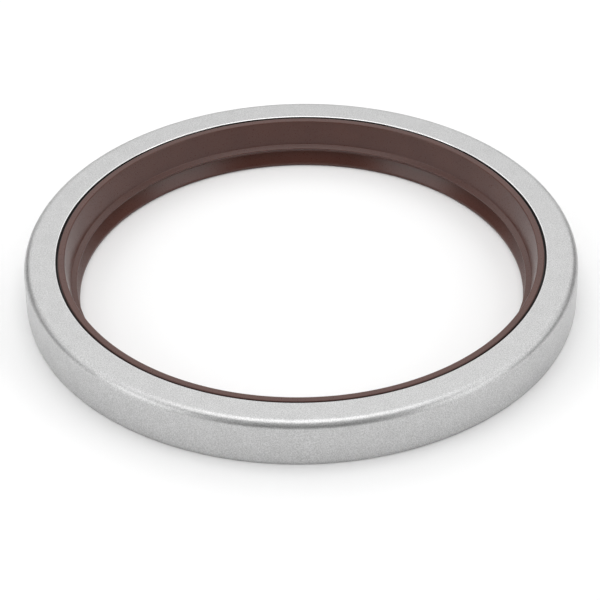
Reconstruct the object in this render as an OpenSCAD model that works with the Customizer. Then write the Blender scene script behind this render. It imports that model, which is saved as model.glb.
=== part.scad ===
// Radial shaft oil seal for a large wheel hub, in millimetres.
// It rests on the open rim of its case, with the flange and the air side up.
// +Z is the seal's axis, and the origin is the centre of the open rim.

/* [Main sizes] */
// Diameter of the shaft that the lips run on
shaft_d = 140; // [60:1:300]
// Radial width of the seal, from the shaft to the housing that it is pressed into
section_w = 15; // [13:0.5:25]
// Height from the open rim to the flange face
seal_h = 15; // [13:0.5:20]

/* [Case] */
// Thickness of the pressed sheet
sheet_t = 1.3; // [1:0.1:2]
// Radial clearance between the shaft and the hole in the flange
flange_gap = 5.2; // [4.6:0.1:6.4]
// Inner radius of the bend from the flange to the wall
bend_r = 1.3; // [0.5:0.1:1.6]
// Rounding of the flange's upper edge at its hole
hole_edge_r = 0.35; // [0.1:0.05:0.6]
// Height of the chamfer at the open rim, which leads into the housing
lead_in_h = 1.2; // [0.6:0.1:1.8]
// Width of that chamfer
lead_in_w = 0.3; // [0.2:0.05:0.6]
// Rounding of the chamfer's two edges
lead_in_r = 0.3; // [0.1:0.05:0.4]
// Rounding of the open rim's inner edge
rim_inner_r = 0.2; // [0.05:0.05:0.4]

/* [Rubber rim and upper cone] */
// Width of the groove between the flange's edge and the rubber rim
groove_w = 0.65; // [0.5:0.05:0.9]
// How much narrower the groove is at its bottom
groove_taper = 0.2; // [0.1:0.05:0.3]
// How far the rubber at the groove's bottom reaches up the flange's edge
bond_h = 0.2; // [0.1:0.05:0.4]
// Rounding of the groove's bottom
groove_floor_r = 0.15; // [0.05:0.05:0.3]
// How far the rubber rim lies below the flange face
rim_recess = 0.1; // [0:0.05:0.3]
// Width of the rubber rim
rim_w = 2; // [1.5:0.05:2.2]
// Rounding of the rubber rim's edges
rim_edge_r = 0.4; // [0.2:0.05:0.6]
// Radius of the hollow at the upper cone's foot
cone_foot_r = 0.4; // [0.1:0.1:0.8]

/* [Dust lip] */
// How much smaller the free dust lip is than the shaft, in diameter
dust_lip_squeeze = 1.6; // [0.4:0.1:2.4]
// Height of the ledge on top of the dust lip, at the upper cone's foot
ledge_z = 7; // [6.5:0.1:8]
// Width of that ledge
ledge_w = 1.8; // [1.2:0.1:2.2]
// How far the ledge falls towards the lip's tip
ledge_fall = 0.65; // [0.2:0.05:0.9]
// Thickness of the dust lip at its tip
dust_tip_t = 0.3; // [0.2:0.1:0.8]
// Rounding of the tip's edges
dust_tip_r = 0.15; // [0.05:0.05:0.3]
// Depth of the undercut below the dust lip
undercut = 1.5; // [1:0.1:1.8]
// Height of the undercut's upper flank
flank_h = 1.2; // [0.8:0.1:1.4]
// Radius of the hollow in the undercut
undercut_r = 0.6; // [0.2:0.1:0.8]

/* [Main lip] */
// How much smaller the free main lip is than the shaft, in diameter
main_lip_squeeze = 2.8; // [1:0.1:3.6]
// Height of the lip's foot above the open rim
foot_gap = 0.1; // [0.05:0.05:0.6]
// Chamfer from the lip's foot to its land, on the oil side
lip_chamfer = 0.25; // [0.15:0.05:0.6]
// Height of the land that touches the shaft
land_h = 0.75; // [0.6:0.05:1.5]
// Rounding of the land's upper edge
land_top_r = 0.2; // [0.05:0.05:0.4]
// Rounding of the sealing edge under the land
seal_edge_r = 0.1; // [0.05:0.05:0.2]
// Rounding of the foot's inner edge
foot_in_r = 0.2; // [0.05:0.05:0.3]
// Rounding of the foot's outer edge
foot_out_r = 0.3; // [0.1:0.1:0.5]
// Rubber between the land and the spring
lip_wall = 1.8; // [1.5:0.1:2.2]
// Rubber under the spring
foot_t = 0.6; // [0.4:0.1:1]
// Thickness of the flexing neck behind the undercut
neck_t = 1.4; // [1:0.1:2]
// Radius of the hollow in the back of the neck
neck_r = 2; // [0.5:0.5:3]
// Rounding of the shoulder over the spring
shoulder_r = 0.8; // [0.2:0.1:1.2]
// Angle of the spring groove's mouth, under 180 so that the spring snaps in
mouth_angle = 106; // [80:2:140]

/* [Bond to the flange] */
// How far the rubber pad bonded under the flange reaches out from the flange's hole
pad_w = 4.8; // [2:0.1:5.5]
// Thickness of that pad
pad_t = 1.2; // [0.6:0.1:2]
// Rounding of the pad's lower edge
pad_edge_r = 0.5; // [0.1:0.1:0.6]
// Thickness of the rubber behind the rim, where the lip's back meets the pad
body_t = 2.4; // [1.8:0.1:3]
// Radius of the hollow where the lip's back meets the pad
back_r = 1.5; // [0.5:0.5:3]

/* [Garter spring] */
// Outside diameter of the spring's coil
spring_d = 2.4; // [2:0.1:2.8]
// Clearance between the coil and its groove, all round
spring_clear = 0.05; // [0.02:0.01:0.1]

/* [Hidden] */
$fn = 120;
metal_colour = [0.8, 0.8, 0.79];
rubber_colour = [0.33, 0.23, 0.21];
spring_colour = [0.6, 0.6, 0.62];
arc_error = 0.003;

seal_od = shaft_d + 2 * section_w;
flange_hole_d = shaft_d + 2 * flange_gap;
pad_d = flange_hole_d + 2 * pad_w;

wall_r = seal_od / 2;
wall_in_r = wall_r - sheet_t;
hole_r = flange_hole_d / 2;
flange_under = seal_h - sheet_t;

main_lip_r = (shaft_d - main_lip_squeeze) / 2;
dust_lip_r = (shaft_d - dust_lip_squeeze) / 2;
land_z = foot_gap + lip_chamfer;
rim_r = hole_r - groove_w - rim_w;
cone_foot = dust_lip_r + ledge_w;
dust_tip_z = ledge_z - ledge_fall;
undercut_z = dust_tip_z - dust_tip_t - flank_h;

groove_r = spring_d / 2 + spring_clear;
spring_r = main_lip_r + lip_wall + groove_r;
spring_z = foot_gap + foot_t + groove_r;
head_r = spring_r + groove_r * cos(mouth_angle / 2);
head_top = spring_z + groove_r + foot_t;

function unit(v) = v / norm(v);

function turned(v, a) = [v[0] * cos(a) - v[1] * sin(a), v[0] * sin(a) + v[1] * cos(a)];

// The angle of a chord that strays from an arc of radius r by the allowed error
function chord_angle(r) = 2 * acos(1 - arc_error / r);

function arc(hub, first, sweep, steps) = [for (i = [0:steps]) hub + turned(first, sweep * i / steps)];

// The points of one corner, with the radius in its third value or as much as its sides have room for
function corner(before, here, after) =
    let (
        tip = [here[0], here[1]],
        back = [before[0], before[1]] - tip,
        ahead = [after[0], after[1]] - tip,
        half = acos(unit(back) * unit(ahead)) / 2,
        room = min(norm(back), norm(ahead)) / 2,
        r = min(here[2], room * tan(half)),
        hub = tip + unit(unit(back) + unit(ahead)) * r / sin(half),
        first = tip + unit(back) * r / tan(half) - hub,
        sweep = sign(cross(ahead, back)) * (180 - 2 * half)
    )
    r == 0 ? [tip] : arc(hub, first, sweep, ceil(abs(sweep) / chord_angle(r)));

// An outline from [radius, height, rounding] points
function outline(pts) =
    let (n = len(pts))
    [for (i = [0:n - 1]) each corner(pts[(i + n - 1) % n], pts[i], pts[(i + 1) % n])];

// Section of the pressed case, from the flange's hole round to its wall
case_section = [
    [hole_r, seal_h, hole_edge_r],
    [hole_r, flange_under, 0],
    [wall_in_r, flange_under, bend_r],
    [wall_in_r, 0, rim_inner_r],
    [wall_r - lead_in_w, 0, lead_in_r],
    [wall_r, lead_in_h, lead_in_r],
    [wall_r, seal_h, bend_r + sheet_t]
];

// Section of the rubber, from the flange's edge down the shaft side and up the back
rubber_section = [
    [hole_r, flange_under + bond_h, 0],
    [hole_r - groove_w + groove_taper, flange_under + bond_h, groove_floor_r],
    [hole_r - groove_w, seal_h - rim_recess, rim_edge_r],
    [rim_r, seal_h - rim_recess, rim_edge_r],
    [cone_foot, ledge_z, cone_foot_r],
    [dust_lip_r, dust_tip_z, dust_tip_r],
    [dust_lip_r, dust_tip_z - dust_tip_t, dust_tip_r],
    [dust_lip_r + undercut, undercut_z, undercut_r],
    [main_lip_r, land_z + land_h, land_top_r],
    [main_lip_r, land_z, seal_edge_r],
    [main_lip_r + lip_chamfer, foot_gap, foot_in_r],
    [head_r, foot_gap, foot_out_r],
    [head_r, head_top, shoulder_r],
    [dust_lip_r + undercut + neck_t, undercut_z, neck_r],
    [rim_r + body_t, flange_under - pad_t, back_r],
    [pad_d / 2, flange_under - pad_t, pad_edge_r],
    [pad_d / 2, flange_under, 0],
    [hole_r, flange_under, 0]
];

module metal_case() {
    color(metal_colour)
        rotate_extrude()
            polygon(outline(case_section));
}

module spring_profile(r) {
    translate([spring_r, spring_z])
        circle(r = r, $fn = 48);
}

module rubber_seal() {
    color(rubber_colour)
        rotate_extrude()
            difference() {
                polygon(outline(rubber_section));
                spring_profile(groove_r);
            }
}

module garter_spring() {
    color(spring_colour)
        rotate_extrude()
            spring_profile(spring_d / 2);
}

metal_case();
rubber_seal();
garter_spring();
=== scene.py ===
"""A radial shaft oil seal on a white studio floor: metal case, brown rubber and bright garter spring."""

import math

import bmesh
import bpy
from mathutils import Matrix, Vector


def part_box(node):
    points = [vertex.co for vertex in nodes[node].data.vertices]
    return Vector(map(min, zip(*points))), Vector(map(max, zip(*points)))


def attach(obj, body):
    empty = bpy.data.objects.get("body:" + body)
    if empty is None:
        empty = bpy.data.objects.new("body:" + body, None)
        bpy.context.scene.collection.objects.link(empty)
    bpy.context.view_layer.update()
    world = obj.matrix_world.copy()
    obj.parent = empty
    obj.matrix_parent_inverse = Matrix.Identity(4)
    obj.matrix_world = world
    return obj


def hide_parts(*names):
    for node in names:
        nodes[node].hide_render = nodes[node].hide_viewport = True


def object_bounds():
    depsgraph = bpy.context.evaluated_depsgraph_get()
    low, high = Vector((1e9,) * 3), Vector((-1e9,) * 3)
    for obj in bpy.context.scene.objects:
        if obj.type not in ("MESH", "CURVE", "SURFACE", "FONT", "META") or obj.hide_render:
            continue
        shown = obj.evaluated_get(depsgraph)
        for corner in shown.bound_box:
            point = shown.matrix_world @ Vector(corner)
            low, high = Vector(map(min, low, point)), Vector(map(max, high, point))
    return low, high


# Lengths are in metres, and places on the frame's meshes are told apart to a micrometre
MM = 0.001
MICROMETRE = 1e-6

# The body that every piece rides on
BODY = "root"

# Turned pieces: steps round the axis, and the bend from which an edge stays sharp
LATHE_STEPS = 360
SHARP_ANGLE = math.radians(30)

# The garter spring's wire
WIRE_D = 0.45 * MM
SPRING_TURNS = 880
STEPS_PER_TURN = 12
WIRE_SIDES = 6

# The painted highlight on the edge of the flange's hole: its width, and the blur of its border
HOLE_HIGHLIGHT_WIDTH = 0.35 * MM
HOLE_HIGHLIGHT_BLUR = 0.05 * MM

# The painted shade, nearly black, in the groove beside that hole: how far in and down it reaches, and the
# blur of those borders
GROOVE_SHADE_WIDTH = 0.6 * MM
GROOVE_SHADE_WIDTH_BLUR = 0.1 * MM
GROOVE_SHADE_DEPTH = 1.25 * MM
GROOVE_SHADE_DEPTH_BLUR = 0.05 * MM

# The values between which most of a noise lies
NOISE_LOW = 0.3
NOISE_HIGH = 0.7

# The photograph's camera, which aims a little below and left of the centre of the ring's top plane
CAMERA_DISTANCE = 788.36 * MM
CAMERA_ELEVATION = math.radians(36.6087)
CAMERA_ROLL = math.radians(0.8652)
CAMERA_LENS = 153.956
SENSOR = 36
AIM_LEFT = 0.507 * MM
AIM_DOWN = 15.784 * MM

# The floor, whose glow grows to its full strength between two distances from the seal, and the air
FLOOR_SIZE = 12
FLOOR_DROP = 0.02 * MM
GLOW_START = 0.6
GLOW_END = 2.6
FLOOR_GLOW = 0.85
AIR_GLOW = 0.03

# Name, azimuth and elevation in degrees, distance, width and height in metres, and power in watts.
# Azimuth 0 is the camera's side, and 90 is the right
SOFTBOXES = [
    ("overhead", 0, 90, 1.5, 1.2, 1.2, 7.6),
    ("ceiling", 180, 75, 1.55, 3, 2.6, 16.3),
    ("back_panel", 180, 28, 1.5, 2, 1.3, 6.6),
    ("front_strip", 0, 40, 1.5, 0.9, 0.4, 1.1),
    ("left_box", -60, 20, 1.5, 0.9, 0.9, 4.9),
    ("right_box", 60, 20, 1.5, 0.9, 0.9, 4.5),
    ("left_panel", -97, 37, 1.5, 1.4, 0.9, 4.4),
    ("right_panel", 97, 37, 1.5, 1.4, 0.9, 4.4),
]

# Places of the colour sockets on a Mix node, whose names don't tell them apart
MIX_COLOUR_A = 6
MIX_COLOUR_B = 7
MIX_COLOUR_RESULT = 2


def plain(corners):
    """Two corners as plain lists of numbers."""
    return [list(map(float, corner)) for corner in corners]


# Geometry


def section(node):
    """The closed outline of a turned node, as (radius, height) points in order, read on its seam at +X."""
    mesh = node.data
    places = [tuple(round(c / MICROMETRE) for c in node.matrix_world @ v.co) for v in mesh.vertices]
    linked = {}
    for edge in mesh.edges:
        a, b = (places[i] for i in edge.vertices)
        if a != b and all(x > 0 and y == 0 for x, y, z in (a, b)):
            linked.setdefault(a, set()).add(b)
            linked.setdefault(b, set()).add(a)
    start = min(linked)
    path = [start]
    behind, here = None, start
    while True:
        ahead = min(p for p in linked[here] if p != behind)
        if ahead == start:
            return [(x * MICROMETRE, z * MICROMETRE) for x, y, z in path]
        path.append(ahead)
        behind, here = here, ahead


def add_object(name, bm):
    mesh = bpy.data.meshes.new(name)
    bmesh.ops.recalc_face_normals(bm, faces=bm.faces)
    bm.to_mesh(mesh)
    bm.free()
    obj = bpy.data.objects.new(name, mesh)
    bpy.context.scene.collection.objects.link(obj)
    return obj


def join_rings(bm, rings):
    """Joins closed rings of vertices, each to the next and the last to the first."""
    count = len(rings[0])
    for i, ring in enumerate(rings):
        after = rings[(i + 1) % len(rings)]
        for j in range(count):
            k = (j + 1) % count
            bm.faces.new((ring[j], ring[k], after[k], after[j]))


def lathe(name, outline):
    """The outline turned about Z, smooth but for the edges that are sharp in the outline."""
    bm = bmesh.new()
    rings = []
    for step in range(LATHE_STEPS):
        a = math.tau * step / LATHE_STEPS
        rings.append([bm.verts.new((r * math.cos(a), r * math.sin(a), z)) for r, z in outline])
    join_rings(bm, rings)
    obj = add_object(name, bm)
    obj.data.shade_smooth()
    obj.data.set_sharp_from_angle(angle=SHARP_ANGLE)
    weighted = obj.modifiers.new("flat faces stay flat", "WEIGHTED_NORMAL")
    weighted.keep_sharp = True
    return obj


def garter_coil(name, centre_r, centre_z, coil_d):
    """A close-wound coil of round wire, bent into a ring."""
    turn_r = (coil_d - WIRE_D) / 2
    wire_r = WIRE_D / 2
    total = SPRING_TURNS * STEPS_PER_TURN
    up = Vector((0, 0, 1))
    bm = bmesh.new()
    rings = []
    for step in range(total):
        around = math.tau * step / total
        turn = math.tau * step / STEPS_PER_TURN
        out = Vector((math.cos(around), math.sin(around), 0))
        tangent = up.cross(out)
        spoke = out * math.cos(turn) + up * math.sin(turn)
        centre = out * centre_r + up * centre_z + spoke * turn_r
        ring = []
        for side in range(WIRE_SIDES):
            a = math.tau * side / WIRE_SIDES
            ring.append(bm.verts.new(centre + (spoke * math.cos(a) + tangent * math.sin(a)) * wire_r))
        rings.append(ring)
    join_rings(bm, rings)
    obj = add_object(name, bm)
    obj.data.shade_smooth()
    return obj


# Materials


class Surface:
    """A new material, and short ways to add its nodes."""

    def __init__(self, name):
        self.material = bpy.data.materials.new(name)
        self.material.use_nodes = True
        self.tree = self.material.node_tree
        self.shader = self.tree.nodes["Principled BSDF"]
        self.place = self.add("ShaderNodeTexCoord").outputs["Object"]

    def add(self, kind, **settings):
        node = self.tree.nodes.new(kind)
        for key, value in settings.items():
            setattr(node, key, value)
        return node

    def put(self, value, socket):
        """Links the socket to another one, or sets it to a plain value."""
        if isinstance(value, bpy.types.NodeSocket):
            self.tree.links.new(value, socket)
        else:
            socket.default_value = value

    def computed(self, kind, operation, *values):
        """The outputs of a math node that takes those values in order."""
        node = self.add(kind, operation=operation)
        for value, socket in zip(values, node.inputs):
            self.put(value, socket)
        return node.outputs

    def length(self, vector):
        return self.computed("ShaderNodeVectorMath", "LENGTH", vector)["Value"]

    def radius(self):
        """The distance from the seal's axis."""
        level = self.computed("ShaderNodeVectorMath", "MULTIPLY", self.place, (1, 1, 0))
        return self.length(level["Vector"])

    def height(self):
        """The height above the seal's open rim."""
        node = self.add("ShaderNodeSeparateXYZ")
        self.put(self.place, node.inputs["Vector"])
        return node.outputs["Z"]

    def noise(self, size, detail):
        """Noise with features of about that size, in metres."""
        node = self.add("ShaderNodeTexNoise")
        self.put(1 / size, node.inputs["Scale"])
        self.put(detail, node.inputs["Detail"])
        self.put(self.place, node.inputs["Vector"])
        return node.outputs["Fac"]

    def mixed(self, first, second, share):
        """A value that is the second one by that share, and else the first."""
        node = self.add("ShaderNodeMix")
        self.put(share, node.inputs["Factor"])
        self.put(first, node.inputs["A"])
        self.put(second, node.inputs["B"])
        return node.outputs["Result"]

    def mixed_colours(self, first, second, share):
        """A colour that is the second one by that share, and else the first."""
        node = self.add("ShaderNodeMix", data_type="RGBA")
        self.put(share, node.inputs["Factor"])
        self.put(first, node.inputs[MIX_COLOUR_A])
        self.put(second, node.inputs[MIX_COLOUR_B])
        return node.outputs[MIX_COLOUR_RESULT]

    def spread(self, source, low, high, start=NOISE_LOW, end=NOISE_HIGH):
        """A value that goes from low to high while source goes from start to end."""
        node = self.add("ShaderNodeMapRange")
        self.put(source, node.inputs["Value"])
        self.put(start, node.inputs["From Min"])
        self.put(end, node.inputs["From Max"])
        self.put(low, node.inputs["To Min"])
        self.put(high, node.inputs["To Max"])
        return node.outputs["Result"]

    def past(self, source, limit, blur):
        """A value that is 1 past the limit and 0 before it, and blurred that far on both sides of it."""
        return self.spread(source, 0, 1, start=limit - blur, end=limit + blur)

    def colours(self, noise, dark, light):
        """A colour that follows the noise from dark to light."""
        node = self.add("ShaderNodeValToRGB")
        self.put(noise, node.inputs["Fac"])
        first, last = node.color_ramp.elements
        first.position = NOISE_LOW
        first.color = (*dark, 1)
        last.position = NOISE_HIGH
        last.color = (*light, 1)
        return node.outputs["Color"]

    def bump(self, source, depth, onto=None):
        """Bump of that depth in metres from source, over an earlier bump's normal."""
        node = self.add("ShaderNodeBump")
        self.put(depth, node.inputs["Distance"])
        self.put(source, node.inputs["Height"])
        if onto is not None:
            self.put(onto, node.inputs["Normal"])
        return node.outputs["Normal"]

    def finished(self, **sockets):
        """The material, once the shader's sockets are set or linked, by their names with _ for a space."""
        for key, value in sockets.items():
            self.put(value, self.shader.inputs[key.replace("_", " ")])
        return self.material


def case_metal(edge_r):
    """Satin zinc-grey sheet with a fine mottled grain, and a painted highlight: a brighter, glossier ring
    on the edge of its hole.
    """
    surface = Surface("case_metal")
    mottle = surface.noise(size=5 * MM, detail=4)
    grain = surface.noise(size=0.32 * MM, detail=1)
    dimples = surface.noise(size=0.7 * MM, detail=2)
    speckle = surface.mixed(mottle, grain, share=0.88)
    # Painted highlight: a brighter, glossier ring along the edge of the hole
    sheet = surface.past(surface.radius(), edge_r, HOLE_HIGHLIGHT_BLUR)
    sheet_grey = surface.spread(speckle, 0.455, 0.665, start=0.35, end=0.65)
    sheet_roughness = surface.spread(grain, 0.39, 0.46)
    highlight_grey = 0.78
    highlight_roughness = 0.12
    return surface.finished(
        Base_Color=surface.mixed(highlight_grey, sheet_grey, share=sheet),
        Roughness=surface.mixed(highlight_roughness, sheet_roughness, share=sheet),
        Normal=surface.bump(mottle, 0.04 * MM, onto=surface.bump(dimples, 0.02 * MM)),
        Metallic=1.0,
    )


def seal_rubber(groove_shade_r, groove_shade_z):
    """Dark red-brown moulded rubber with a soft sheen, and painted shade, nearly black, in the groove
    beside the flange.
    """
    surface = Surface("seal_rubber")
    cloud = surface.noise(size=9 * MM, detail=3)
    skin = surface.noise(size=0.3 * MM, detail=1)
    # Painted shade: the groove beside the flange is darkened to nearly black and made rough
    outside = surface.past(surface.radius(), groove_shade_r, GROOVE_SHADE_WIDTH_BLUR)
    above = surface.past(surface.height(), groove_shade_z, GROOVE_SHADE_DEPTH_BLUR)
    groove_shade = surface.computed("ShaderNodeMath", "MULTIPLY", outside, above)["Value"]
    rubber_colour = surface.colours(cloud, dark=(0.072, 0.023, 0.0155), light=(0.082, 0.027, 0.018))
    rubber_roughness = surface.spread(skin, 0.27, 0.33)
    # The nearly black colour of the painted shade in the groove
    painted_shade_colour = (0.004, 0.003, 0.003, 1)
    groove_shade_roughness = surface.spread(skin, 0.8, 0.9)
    return surface.finished(
        Base_Color=surface.mixed_colours(rubber_colour, painted_shade_colour, share=groove_shade),
        Roughness=surface.mixed(rubber_roughness, groove_shade_roughness, share=groove_shade),
        Normal=surface.bump(skin, 0.0015 * MM),
        Specular_IOR_Level=0.5,
        Sheen_Weight=0.25,
        Sheen_Roughness=0.3,
    )


def spring_steel():
    """Bright drawn wire with a trace of oil."""
    surface = Surface("spring_steel")
    drawn = surface.noise(size=0.3 * MM, detail=2)
    return surface.finished(
        Base_Color=surface.colours(drawn, dark=(0.44, 0.44, 0.46), light=(0.56, 0.56, 0.58)),
        Roughness=surface.spread(drawn, 0.18, 0.3),
        Metallic=1.0,
    )


def floor_paint():
    """White paint that glows a little far out, where the softboxes don't reach."""
    surface = Surface("studio_floor")
    away = surface.length(surface.place)
    return surface.finished(
        Base_Color=(0.98, 0.98, 0.98, 1),
        Roughness=0.9,
        Specular_IOR_Level=0.1,
        Emission_Color=(1, 1, 1, 1),
        Emission_Strength=surface.spread(away, 0, FLOOR_GLOW, start=GLOW_START, end=GLOW_END),
    )


# Studio


def add_floor():
    bm = bmesh.new()
    bmesh.ops.create_grid(bm, x_segments=2, y_segments=2, size=FLOOR_SIZE / 2)
    floor = add_object("studio_floor_sheet", bm)
    floor.location.z = -FLOOR_DROP
    floor.data.materials.append(floor_paint())


def add_camera(top_z):
    """The photograph's view of the ring, whose top plane is at that height."""
    sin_e, cos_e = math.sin(CAMERA_ELEVATION), math.cos(CAMERA_ELEVATION)
    sin_r, cos_r = math.sin(CAMERA_ROLL), math.cos(CAMERA_ROLL)
    ahead = Vector((0, cos_e, -sin_e))
    level_right = Vector((1, 0, 0))
    level_up = Vector((0, sin_e, cos_e))
    right = level_right * cos_r - level_up * sin_r
    up = level_right * sin_r + level_up * cos_r
    place = Vector((0, 0, top_z)) - ahead * CAMERA_DISTANCE - level_right * AIM_LEFT - level_up * AIM_DOWN
    data = bpy.data.cameras.new("photo_camera")
    data.sensor_width = SENSOR
    data.lens = CAMERA_LENS
    camera = bpy.data.objects.new("photo_camera", data)
    camera.matrix_world = Matrix.Translation(place) @ Matrix((right, up, -ahead)).transposed().to_4x4()
    bpy.context.scene.collection.objects.link(camera)
    bpy.context.scene.camera = camera


def add_softbox(name, azimuth, elevation, distance, width, height, power):
    """A soft area light that looks at the seal."""
    a, e = math.radians(azimuth), math.radians(elevation)
    place = Vector((math.sin(a) * math.cos(e), -math.cos(a) * math.cos(e), math.sin(e))) * distance
    data = bpy.data.lights.new(name, "AREA")
    data.shape = "RECTANGLE"
    data.size = width
    data.size_y = height
    data.energy = power
    lamp = bpy.data.objects.new(name, data)
    lamp.location = place
    lamp.rotation_euler = place.to_track_quat("Z", "Y").to_euler()
    lamp.visible_camera = False
    bpy.context.scene.collection.objects.link(lamp)


def add_studio():
    world = bpy.data.worlds.new("studio_air")
    world.use_nodes = True
    background = world.node_tree.nodes["Background"]
    background.inputs["Color"].default_value = (1, 1, 1, 1)
    background.inputs["Strength"].default_value = AIR_GLOW
    bpy.context.scene.world = world
    for softbox in SOFTBOXES:
        add_softbox(*softbox)
    bpy.context.scene.view_settings.view_transform = "Standard"


def dress(piece, node_name, material):
    piece.data.materials.append(material)
    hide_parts(node_name)
    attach(piece, BODY)


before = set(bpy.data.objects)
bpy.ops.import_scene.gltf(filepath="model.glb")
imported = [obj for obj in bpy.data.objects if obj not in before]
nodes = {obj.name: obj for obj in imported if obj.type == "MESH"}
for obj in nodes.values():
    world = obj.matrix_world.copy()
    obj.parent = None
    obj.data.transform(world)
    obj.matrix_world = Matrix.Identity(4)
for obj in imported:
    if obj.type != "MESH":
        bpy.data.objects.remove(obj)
cad_box = plain(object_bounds())
top_z = cad_box[1][2]

case_outline = section(nodes["metal_case"])
hole_r = min(r for r, z in case_outline)
case = lathe("case_shell", case_outline)
# The case's material paints a highlight along the edge of its hole
dress(case, "metal_case", case_metal(hole_r + HOLE_HIGHLIGHT_WIDTH))

rubber = lathe("seal_moulding", section(nodes["rubber_seal"]))
# The rubber's material paints shade, nearly black, into the groove beside the flange
dress(rubber, "rubber_seal", seal_rubber(hole_r - GROOVE_SHADE_WIDTH, top_z - GROOVE_SHADE_DEPTH))

spring_low, spring_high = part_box("garter_spring")
coil_across = spring_high[2] - spring_low[2]
spring = garter_coil(
    "spring_coil",
    centre_r=spring_high[0] - coil_across / 2,
    centre_z=(spring_low[2] + spring_high[2]) / 2,
    coil_d=coil_across,
)
dress(spring, "garter_spring", spring_steel())

add_floor()
add_studio()
add_camera(top_z)
